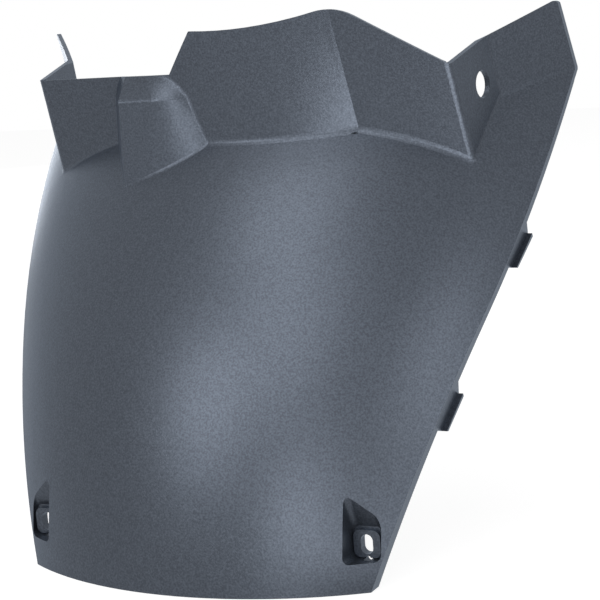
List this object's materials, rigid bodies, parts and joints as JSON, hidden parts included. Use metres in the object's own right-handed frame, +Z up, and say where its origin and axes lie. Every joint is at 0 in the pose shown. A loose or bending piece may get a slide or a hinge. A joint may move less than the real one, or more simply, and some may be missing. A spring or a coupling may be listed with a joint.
{
  "type": "scooter front fender",
  "caption": "Curved one-piece front fender panel with a folded top wall, side ears, a stiffening bump, slotted screw wells and hooked edge tabs.",
  "frame": {"origin": "in the middle of the base: halfway between the sides and between the front face and the ear tips, level with the bottom edge", "axes": "+X to the right seen from the front, which is the rider's left, +Y from the front face to the back, +Z up. Right and left in the names are as seen from the front"},
  "size_m": [0.2986, 0.1936, 0.2644],
  "materials": {
    "fender_shell": "satin dark blue-grey plastic with a fine metallic speckle"
  },
  "bodies": {
    "root": {"fender_shell": "fender_shell"}
  },
  "joints": []
}
